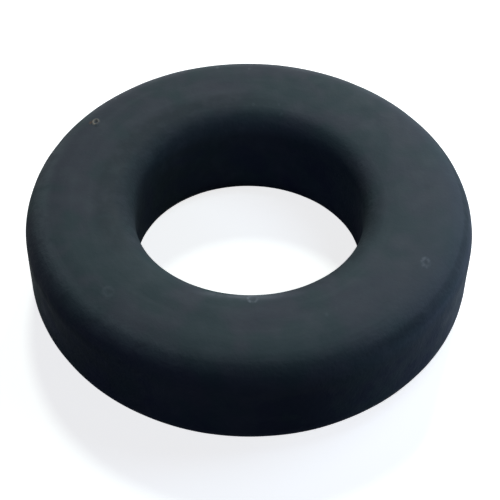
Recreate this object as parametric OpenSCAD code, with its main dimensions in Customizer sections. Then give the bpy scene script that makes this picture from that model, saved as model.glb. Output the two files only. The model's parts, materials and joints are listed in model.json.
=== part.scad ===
// Rubber sealing ring
// A thick moulded ring that lies flat: two flat faces, a straight bore, a straight outer wall,
// and a rounded edge at every corner of its section.
// It stands on its lower face. The origin is on the axis of the bore, at that face.

/* [Ring] */
// Diameter across the outer wall
outer_d = 30; // [24:0.5:60]
// Diameter of the bore at its straight wall
bore_d = 15.4; // [8:0.1:21]
// Height from the lower face to the upper face
ring_h = 8; // [5:0.5:20]

/* [Rounded edges] */
// Radius of the two outer edges
outer_edge_r = 2.25; // [0.5:0.25:3.75]
// Radius of the two lips of the bore
bore_lip_r = 1.8; // [0.5:0.1:3.9]

/* [Hidden] */
$fn = 180;

outer_r = outer_d / 2;
bore_r = bore_d / 2;
// Distances from the axis to the centres of the outer edges and of the bore's lips
outer_edge_x = outer_r - outer_edge_r;
bore_lip_x = bore_r + bore_lip_r;

// One rounded corner of the section, at the lower face and again at the upper face
module corner_pair(centre_x, corner_r) {
    for (centre_y = [corner_r, ring_h - corner_r])
        translate([centre_x, centre_y]) circle(r = corner_r);
}

// A rectangle from one distance to another, standing off both faces by the same gap
module section_block(from_x, to_x, face_gap) {
    translate([from_x, face_gap]) square([to_x - from_x, ring_h - 2 * face_gap]);
}

// Half of the ring's section, to the right of the axis
module ring_section() {
    // Between the flat faces
    section_block(bore_lip_x, outer_edge_x, 0);
    // Behind the outer wall
    section_block(outer_edge_x, outer_r, outer_edge_r);
    corner_pair(outer_edge_x, outer_edge_r);
    // Behind the wall of the bore
    section_block(bore_r, bore_lip_x, bore_lip_r);
    corner_pair(bore_lip_x, bore_lip_r);
}

// The whole ring, moulded in one piece
module sealing_ring() {
    color([0.22, 0.25, 0.27]) rotate_extrude() ring_section();
}

sealing_ring();
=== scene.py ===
import bmesh
import bpy
import json
from math import cos, exp, pi, radians, sin, tan
from mathutils import Matrix, Vector, noise
from mathutils.bvhtree import BVHTree


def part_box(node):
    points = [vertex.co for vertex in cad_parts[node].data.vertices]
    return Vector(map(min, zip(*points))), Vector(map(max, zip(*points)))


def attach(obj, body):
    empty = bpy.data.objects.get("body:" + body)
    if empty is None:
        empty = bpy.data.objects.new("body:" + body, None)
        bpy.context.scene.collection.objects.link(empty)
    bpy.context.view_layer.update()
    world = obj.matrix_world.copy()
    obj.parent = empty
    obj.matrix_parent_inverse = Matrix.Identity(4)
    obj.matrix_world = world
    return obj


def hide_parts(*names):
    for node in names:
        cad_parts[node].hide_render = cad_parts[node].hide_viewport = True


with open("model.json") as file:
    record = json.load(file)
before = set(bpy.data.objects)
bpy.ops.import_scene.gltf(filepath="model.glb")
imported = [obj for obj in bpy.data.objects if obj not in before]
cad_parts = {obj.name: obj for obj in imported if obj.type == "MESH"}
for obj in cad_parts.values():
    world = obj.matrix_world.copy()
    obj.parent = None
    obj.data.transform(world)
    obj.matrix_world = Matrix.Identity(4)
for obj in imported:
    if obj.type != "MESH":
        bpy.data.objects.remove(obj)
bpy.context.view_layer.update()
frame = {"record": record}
scene = bpy.context.scene
MM = 0.001


# The camera stands in front of the ring and looks down on it at a little under 47 degrees.
# It is close, about three ring diameters away, so the near side of the ring looks larger.
ring_low, ring_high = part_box("sealing_ring")
ring_h = ring_high[2] - ring_low[2]
ring_middle = Vector((0, 0, ring_h / 2))
camera_away = 97.5 * MM
camera_elevation = radians(46.85)
camera_data = bpy.data.cameras.new("camera")
camera_data.sensor_width = 36
camera_data.lens = 102.6
camera_data.clip_start = 5 * MM
camera = bpy.data.objects.new("camera", camera_data)
camera.matrix_world = (
    Matrix.Translation(ring_middle)
    @ Matrix.Rotation(pi / 2 - camera_elevation, 4, "X")
    @ Matrix.Translation((0, 0, camera_away))
    # It leans slightly, and is aimed a little below the middle of the ring.
    @ Matrix.Rotation(radians(-0.56), 4, "X")
    @ Matrix.Rotation(radians(-0.05), 4, "Y")
    @ Matrix.Rotation(radians(0.67), 4, "Z")
)
scene.collection.objects.link(camera)
scene.camera = camera


# The ring is one piece of black rubber, pressed hot in a two-part mould and pushed into its seat
# without glue. Its faces are slightly crowned, its bore and its outside are straight, and each corner
# has a generous radius. The skin is matt and uneven, with a burst air bubble and faint marks.
mounts = {mount["name"]: mount["dims"] for mount in frame["record"]["mounts"]}
outer_r = (ring_high[0] - ring_low[0]) / 2
bore_r = mounts["bore"]["r_mm"] * MM
lip_drop = (ring_h - mounts["bore"]["length_mm"] * MM) / 2
edge_drop = (ring_h - mounts["outer_wall"]["length_mm"] * MM) / 2

# On both sides of a level land the faces fall away towards the rounded corners.
inner_bend_r = 9.76 * MM
outer_bend_r = 12.71 * MM
inner_fall = (inner_bend_r - bore_r) * tan(radians(12.75))
outer_fall = (outer_r - outer_bend_r) * tan(radians(14))
# Each bend from the bore outwards: its distance from the axis, how far it lies inside the face,
# and the length of either side that its rounding takes.
bends = [
    (bore_r, inner_fall, lip_drop - inner_fall),
    (inner_bend_r, 0, 0.70 * MM),
    (outer_bend_r, 0, 0.62 * MM),
    (outer_r, outer_fall, edge_drop - outer_fall),
]
face_size = 0.25 * MM
turn_steps = 360
# A corner's arc is about 1.6 times as long as the length that its rounding takes.
arc_share = 1.6


def steps_along(length):
    """How many faces of the usual size go along a length of the section."""
    return max(2, round(length / face_size))


ring = bmesh.new()
section = [(ring.verts.new((away, 0, inside)), rounding) for away, inside, rounding in bends]
section += [(ring.verts.new((away, 0, ring_h - inside)), rounding) for away, inside, rounding in bends[::-1]]
for (corner, _), (next_corner, _) in zip(section, section[1:] + section[:1]):
    ring.edges.new((corner, next_corner))
for corner, rounding in section:
    bmesh.ops.bevel(
        ring, geom=[corner], offset=rounding, offset_type="OFFSET",
        segments=steps_along(rounding * arc_share), profile=0.5, affect="VERTICES", material=-1,
    )
for edge in [edge for edge in ring.edges if edge.calc_length() > 2 * face_size]:
    bmesh.ops.subdivide_edges(ring, edges=[edge], cuts=steps_along(edge.calc_length()) - 1)
bmesh.ops.spin(
    ring, geom=ring.verts[:] + ring.edges[:], cent=(0, 0, 0), axis=(0, 0, 1),
    angle=2 * pi, steps=turn_steps, use_merge=True,
)
bmesh.ops.recalc_face_normals(ring, faces=ring.faces[:])
plain_skin = BVHTree.FromBMesh(ring)


def on_upper_side(angle, away):
    """The place on the ring's upper side at a distance from the axis, and its outward normal."""
    above = Vector((away * cos(angle), away * sin(angle), 2 * ring_h))
    place, outwards, _, _ = plain_skin.ray_cast(above, Vector((0, 0, -1)))
    return place, outwards


# The burst bubble and the marks are small craters, a little longer along Y. Each has its angle round
# the ring, its distance from the axis, its radius, the height of its rim, the depth of its middle,
# and the width and the share of the pale bloom on its rim.
crater_squeeze = Vector((1, 0.75, 1))
craters = {
    "burst_bubble": (radians(146.7), 12.90 * MM, 0.20 * MM, 0.050 * MM, 0.07 * MM, 0.14 * MM, 1.0),
    "lip_mark": (radians(-88.2), 8.85 * MM, 0.30 * MM, 0.012 * MM, 0.01 * MM, 0.16 * MM, 0.55),
    "right_mark": (radians(-27.3), 12.69 * MM, 0.24 * MM, 0.008 * MM, 0.01 * MM, 0.20 * MM, 0.34),
    "left_mark": (radians(-135.3), 12.29 * MM, 0.28 * MM, 0.006 * MM, 0.01 * MM, 0.26 * MM, 0.10),
}
# How wide a crater's rim and its middle are, how far its slopes go, and how far from its centre the
# mesh is made finer, all in crater radii.
rim_width = 0.35
middle_width = 0.55
slope_end = 2.5
fine_mesh_end = 3
for angle, away, crater_r, rim_rise, middle_drop, _, _ in craters.values():
    centre, outwards = on_upper_side(angle, away)
    near = fine_mesh_end * crater_r
    near_faces = {face for face in ring.faces if (face.calc_center_median() - centre).length < near}
    near_edges = [edge for edge in ring.edges if near_faces.intersection(edge.link_faces)]
    bmesh.ops.subdivide_edges(ring, edges=near_edges, cuts=5, use_grid_fill=True)
    for vert in ring.verts:
        reach = ((vert.co - centre) * crater_squeeze).length / crater_r
        if reach < slope_end:
            rim = rim_rise * exp(-(((reach - 1) / rim_width) ** 2))
            middle = middle_drop * exp(-((reach / middle_width) ** 2))
            vert.co += outwards * (rim - middle)

# The skin lies a hair inside the nominal size, and rises and falls slowly along the surface, in
# waves that carry finer ones, a half and a quarter as long.
skin_depth = 0.022 * MM
skin_unevenness = 0.015 * MM
skin_wave = 3.5 * MM
ring.normal_update()
for vert in ring.verts:
    wave = noise.fractal(vert.co / skin_wave, 1.0, 2.0, 3)
    vert.co -= vert.normal * (skin_depth + skin_unevenness * max(-1, min(1, wave)))
ring_mesh = bpy.data.meshes.new("rubber_ring")
ring.to_mesh(ring_mesh)
ring.free()
ring_mesh.shade_smooth()
rubber_ring = bpy.data.objects.new("rubber_ring", ring_mesh)
scene.collection.objects.link(rubber_ring)


def feed(socket, value):
    """Give a node's socket a plain value, or link another node's output to it."""
    if isinstance(value, bpy.types.NodeSocket):
        socket.id_data.links.new(value, socket)
    else:
        socket.default_value = value


# The next functions each add one node where their first value comes from, and return its output.
def work_out(operation, first, second=0):
    """One sum with two numbers."""
    step = first.id_data.nodes.new("ShaderNodeMath")
    step.operation = operation
    feed(step.inputs[0], first)
    feed(step.inputs[1], second)
    return step.outputs["Value"]


def work_out_places(operation, first, second=(0, 0, 0)):
    """One sum with two places. A length or a dot product comes out as a number."""
    step = first.id_data.nodes.new("ShaderNodeVectorMath")
    step.operation = operation
    feed(step.inputs[0], first)
    feed(step.inputs[1], second)
    return step.outputs["Value" if operation in ("LENGTH", "DOT_PRODUCT") else "Vector"]


def soft_noise(place, size, detail):
    """Soft noise, in patches of about the given size."""
    texture = place.id_data.nodes.new("ShaderNodeTexNoise")
    feed(texture.inputs["Vector"], place)
    feed(texture.inputs["Scale"], 1 / size)
    feed(texture.inputs["Detail"], detail)
    return texture.outputs["Fac"]


def spread(value, low, high, to_low=0, to_high=1):
    """The value, stretched softly so that low and high land on the two given ends."""
    stretch = value.id_data.nodes.new("ShaderNodeMapRange")
    stretch.interpolation_type = "SMOOTHSTEP"
    feed(stretch.inputs["Value"], value)
    feed(stretch.inputs["From Min"], low)
    feed(stretch.inputs["From Max"], high)
    feed(stretch.inputs["To Min"], to_low)
    feed(stretch.inputs["To Max"], to_high)
    return stretch.outputs["Result"]


def blend(share, first, second):
    """A colour between two colours: the first where the share is 0, and the second where it is 1."""
    mix = share.id_data.nodes.new("ShaderNodeMix")
    mix.data_type = "RGBA"
    feed(mix.inputs["Factor"], share)
    feed(mix.inputs["A"], first)
    feed(mix.inputs["B"], second)
    return mix.outputs["Result"]


# A mark shows as a soft pale rim that is patchy and weaker on its right.
round_mark = bpy.data.node_groups.new("round_mark", "ShaderNodeTree")
round_mark.interface.new_socket("Centre", in_out="INPUT", socket_type="NodeSocketVector")
round_mark.interface.new_socket("Radius", in_out="INPUT", socket_type="NodeSocketFloat")
round_mark.interface.new_socket("Width", in_out="INPUT", socket_type="NodeSocketFloat")
round_mark.interface.new_socket("Mask", in_out="OUTPUT", socket_type="NodeSocketFloat")
mark_in = round_mark.nodes.new("NodeGroupInput")
mark_out = round_mark.nodes.new("NodeGroupOutput")
mark_place = round_mark.nodes.new("ShaderNodeTexCoord").outputs["Object"]
from_centre = work_out_places("SUBTRACT", mark_place, mark_in.outputs["Centre"])
centre_distance = work_out_places("LENGTH", work_out_places("MULTIPLY", from_centre, crater_squeeze))
beside_rim = work_out("ABSOLUTE", work_out("SUBTRACT", centre_distance, mark_in.outputs["Radius"]))
pale_rim = spread(beside_rim, 0, mark_in.outputs["Width"], 1, 0)
mark_patches = spread(soft_noise(mark_place, 0.25 * MM, 2), 0.38, 0.58, 0.45, 1)
sideways = round_mark.nodes.new("ShaderNodeSeparateXYZ")
feed(sideways.inputs["Vector"], from_centre)
right_fade = spread(sideways.outputs["X"], -0.1 * MM, 0.4 * MM, 1, 0.5)
feed(mark_out.inputs["Mask"], work_out("MULTIPLY", work_out("MULTIPLY", pale_rim, mark_patches), right_fade))

rubber = bpy.data.materials.new("matt_rubber")
rubber.use_nodes = True
rubber_nodes = rubber.node_tree.nodes
rubber_shader = rubber_nodes["Principled BSDF"]
rubber_shader.inputs["Specular IOR Level"].default_value = 0.02
skin_place = rubber_nodes.new("ShaderNodeTexCoord").outputs["Object"]
skin_parts = rubber_nodes.new("ShaderNodeSeparateXYZ")
feed(skin_parts.inputs["Vector"], skin_place)
axis_distance = work_out_places("LENGTH", work_out_places("MULTIPLY", skin_place, (1, 1, 0)))

# The rubber's black is cloudy: patches of a greener and a more violet grey a few millimetres
# across, and over them a fainter and finer bloom.
teal_black = (0.0390, 0.0550, 0.0607, 1)
violet_black = (0.0480, 0.0538, 0.0655, 1)
bloom_and_light_black = (0.0560, 0.0680, 0.0770, 1)
clouds = spread(soft_noise(skin_place, 3.2 * MM, 2), 0.40, 0.60)
fine_bloom = spread(soft_noise(skin_place, 1.6 * MM, 4), 0.42, 0.78, 0, 0.6)
rubber_colour = blend(fine_bloom, blend(clouds, teal_black, violet_black), bloom_and_light_black)

# The mould was turned on a lathe and left faint rings round the axis: noise that changes twelve
# times as fast outwards as it does round the ring. Towards the right the rubber is painted paler, as painted
# light.
turned_place = rubber_nodes.new("ShaderNodeCombineXYZ")
feed(turned_place.inputs["X"], work_out("MULTIPLY", axis_distance, 12))
feed(turned_place.inputs["Y"], skin_parts.outputs["X"])
feed(turned_place.inputs["Z"], skin_parts.outputs["Y"])
turned_rings = spread(soft_noise(turned_place.outputs["Vector"], 6 * MM, 2), 0.45, 0.75, 0, 0.30)
rubber_colour = blend(turned_rings, rubber_colour, bloom_and_light_black)
right_painted_light = spread(skin_parts.outputs["X"], 2 * MM, 13 * MM, 0, 0.35)
rubber_colour = blend(right_painted_light, rubber_colour, bloom_and_light_black)

# Painted light and shade, all of it patchy. Dark bands are painted shade on the bore lips, the right
# shoulder and the side walls. Pale bands are painted highlights on the near lip, the far edge and the right
# edge, and painted light on the left shoulder. Each is a band at a distance from the axis. Then come, in
# millimetres and degrees, how far to either side it is whole and where it ends, its direction from the axis,
# and how far that way it starts and is whole, and last its share and its colour.
painted_shade_black = (0.0310, 0.0400, 0.0460, 1)
painted_highlight_pale = (0.110, 0.120, 0.140, 1)
painted_light_grey = (0.096, 0.120, 0.130, 1)
painted_light_bands = {
    # Painted shade.
    "far_left_lip": (bore_r, 1.9, 3.2, 150, 1.0, 8.0, 0.80, painted_shade_black),
    "near_right_lip": (bore_r, 0.5, 1.9, -30, 5.0, 8.5, 0.80, painted_shade_black),
    "right_shoulder": (outer_r - 0.55 * MM, 0.05, 0.35, -10, 7.0, 12.0, 0.70, painted_shade_black),
    "right_wall": (outer_r, 0.04, 0.16, -20, 11.0, 14.5, 0.60, painted_shade_black),
    "left_wall": (outer_r, 0.04, 0.16, 205, 9.0, 14.0, 0.90, painted_shade_black),
    # Painted light.
    "left_shoulder": (outer_r - 1.05 * MM, 0.10, 1.05, 205, 5.0, 13.0, 0.42, painted_light_grey),
    # Painted highlights.
    "right_edge": (outer_r - 0.12 * MM, 0.05, 0.17, -22, 11.0, 14.5, 0.25, painted_highlight_pale),
    "near_lip": (bore_r, 0.7, 1.8, -90, 7.9, 8.7, 0.75, painted_highlight_pale),
    "far_edge": (outer_r, 1.0, 2.1, 90, 3.0, 12.0, 0.35, painted_highlight_pale),
}
painted_band_patches = spread(soft_noise(skin_place, 0.9 * MM, 2), 0.3, 0.6, 0.5, 1)
for band_r, whole, end, angle, start, full, share, colour in painted_light_bands.values():
    beside_band = work_out("ABSOLUTE", work_out("SUBTRACT", axis_distance, band_r))
    that_way = work_out_places("DOT_PRODUCT", skin_place, (cos(radians(angle)), sin(radians(angle)), 0))
    on_band = spread(beside_band, end * MM, whole * MM)
    on_side = spread(that_way, start * MM, full * MM)
    painted_band_share = work_out("MULTIPLY", work_out("MULTIPLY", on_band, on_side), painted_band_patches)
    rubber_colour = blend(spread(painted_band_share, 0, 1, 0, share), rubber_colour, colour)

# Below the shoulders the walls and the underside turn darker and bluer in patches.
wall_patch_blue = (0.0330, 0.0390, 0.0580, 1)
skin_height = skin_parts.outputs["Z"]
below_shoulder = spread(skin_height, ring_h - 1.9 * MM, ring_h - 2.9 * MM)
wall_patches = spread(soft_noise(skin_place, 2.6 * MM, 4), 0.40, 0.66)
darker_wall_share = work_out("MULTIPLY", below_shoulder, wall_patches)
rubber_colour = blend(spread(darker_wall_share, 0, 1, 0, 0.7), rubber_colour, wall_patch_blue)

# The bubble's rim is cream, and the other craters' rims hold pale bloom. Beside the bubble are a
# rusty stain and a painted shadow below its rim, and a few pale specks of dust lie about, most of them near
# the far edges. Each mark has its centre, its radius, its width, its share and its colour.
cream = (0.210, 0.195, 0.170, 1)
pale_bloom = (0.165, 0.185, 0.210, 1)
rusty = (0.120, 0.072, 0.045, 1)
marks = [
    (on_upper_side(angle, away)[0], crater_r, width, share, cream if name == "burst_bubble" else pale_bloom)
    for name, (angle, away, crater_r, _, _, width, share) in craters.items()
]
bubble_centre = marks[0][0]
marks.append((bubble_centre + Vector((-0.34, 0, 0)) * MM, 0.05 * MM, 0.20 * MM, 1, rusty))
# A painted shadow beside the bubble's rim.
marks.append((bubble_centre + Vector((0.12, -0.42, 0)) * MM, 0.05 * MM, 0.18 * MM, 1, painted_shade_black))
# Each speck has its angle in degrees, its distance from the axis in millimetres and its share.
dust_specks = [
    (118.3, 14.04, 0.6), (138.7, 14.09, 0.5), (134.3, 13.75, 0.3), (100.4, 13.45, 0.3), (90.4, 13.04, 0.25),
    (88.7, 9.17, 0.08), (77.4, 9.39, 0.08), (75.3, 8.64, 0.12), (-64.8, 11.35, 0.08),
]
for angle, away, share in dust_specks:
    speck_centre, _ = on_upper_side(radians(angle), away * MM)
    marks.append((speck_centre, 0.04 * MM, 0.16 * MM, share, pale_bloom))
for centre, mark_r, width, share, colour in marks:
    mark = rubber_nodes.new("ShaderNodeGroup")
    mark.node_tree = round_mark
    feed(mark.inputs["Centre"], centre)
    feed(mark.inputs["Radius"], mark_r)
    feed(mark.inputs["Width"], width)
    rubber_colour = blend(spread(mark.outputs["Mask"], 0, 1, 0, share), rubber_colour, colour)
feed(rubber_shader.inputs["Base Color"], rubber_colour)
roughness = spread(soft_noise(skin_place, 1.2 * MM, 2), 0.3, 0.7, 0.50, 0.62)
feed(rubber_shader.inputs["Roughness"], roughness)

# The mould is blasted, which leaves a fine grain. The upper face has been rubbed smoother.
grain_strength = spread(skin_height, ring_h - 0.05 * MM, ring_h - 0.6 * MM, 1, 2.4)
grain = rubber_nodes.new("ShaderNodeBump")
feed(grain.inputs["Height"], work_out("MULTIPLY", soft_noise(skin_place, 0.28 * MM, 4), grain_strength))
feed(grain.inputs["Strength"], 1)
feed(grain.inputs["Distance"], 0.013 * MM)
feed(rubber_shader.inputs["Normal"], grain.outputs["Normal"])
ring_mesh.materials.append(rubber)
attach(rubber_ring, "root")
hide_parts("sealing_ring")


# The floor is a plain white sheet, far larger than the ring, and it keeps the ring's soft shadow.
# It looks white to the eye and in reflections, and throws little light back up at the ring.
floor_reach = 2000 * MM
floor = bmesh.new()
bmesh.ops.create_grid(floor, x_segments=1, y_segments=1, size=floor_reach)
floor_mesh = bpy.data.meshes.new("floor")
floor.to_mesh(floor_mesh)
floor.free()
floor_sheet = bpy.data.objects.new("floor", floor_mesh)
scene.collection.objects.link(floor_sheet)


def seen_share(rays):
    """1 for what is seen straight, in a reflection or through glass, and 0 for light that it throws."""
    share = rays.outputs["Is Camera Ray"]
    for kind in ("Is Glossy Ray", "Is Transmission Ray"):
        share = work_out("MAXIMUM", share, rays.outputs[kind])
    return share


floor_paint = bpy.data.materials.new("white_floor")
floor_paint.use_nodes = True
floor_nodes = floor_paint.node_tree.nodes
paper = floor_nodes["Principled BSDF"]
paper.inputs["Roughness"].default_value = 1
paper.inputs["Specular IOR Level"].default_value = 0
paper.inputs["Emission Color"].default_value = (1, 1, 1, 1)
floor_rays = floor_nodes.new("ShaderNodeLightPath")
thrown_grey = (0.1, 0.1, 0.1, 1)
seen_white = (0.8, 0.8, 0.8, 1)
# The glow is for the eye only: in reflections it would lay a grey veil on the ring's black walls.
glow_strength = 0.8
glow = work_out("MULTIPLY", floor_rays.outputs["Is Camera Ray"], glow_strength)
feed(paper.inputs["Base Color"], blend(seen_share(floor_rays), thrown_grey, seen_white))
feed(paper.inputs["Emission Strength"], glow)
floor_mesh.materials.append(floor_paint)


# The room behind the floor is white to the eye and in reflections. Otherwise it is dark, so that
# the light on the ring comes from the lamps.
world = bpy.data.worlds.new("studio")
world.use_nodes = True
scene.world = world
room_nodes = world.node_tree.nodes
room_rays = room_nodes.new("ShaderNodeLightPath")
feed(room_nodes["Background"].inputs["Color"], blend(seen_share(room_rays), (0, 0, 0, 1), (1, 1, 1, 1)))


# The lamps are soft and round. Two key lamps stand behind the ring, one above the other, a wide
# cool lamp fills from the front left, and two small cool ones stand close by on the right.
def soft_lamp(name, azimuth, elevation, away, width, colour):
    """A lamp aimed at the ring. Its colour is the light on a face turned to it, where at 1 a colour
    shows as it is written."""
    data = bpy.data.lights.new(name, "AREA")
    data.shape = "DISK"
    data.size = width
    brightness = max(colour)
    data.energy = brightness * (pi * away) ** 2
    data.color = [part / brightness for part in colour]
    turn = radians(azimuth)
    rise = radians(elevation)
    towards = Vector((cos(rise) * cos(turn), cos(rise) * sin(turn), sin(rise)))
    lamp = bpy.data.objects.new(name, data)
    lamp.location = ring_middle + towards * away
    lamp.rotation_euler = towards.to_track_quat("Z", "Y").to_euler()
    lamp.visible_camera = False
    scene.collection.objects.link(lamp)


soft_lamp("key", 75, 35, 500 * MM, 80 * MM, (0.650, 0.650, 0.650))
soft_lamp("high_key", 93, 55, 500 * MM, 80 * MM, (0.275, 0.310, 0.280))
soft_lamp("left_fill", -120, 30, 500 * MM, 250 * MM, (0.044, 0.056, 0.108))
soft_lamp("right_top", 0, 55, 50 * MM, 30 * MM, (0.160, 0.203, 0.243))
soft_lamp("right_low", 0, 6, 60 * MM, 20 * MM, (0.168, 0.225, 0.333))

scene.view_settings.view_transform = "Standard"
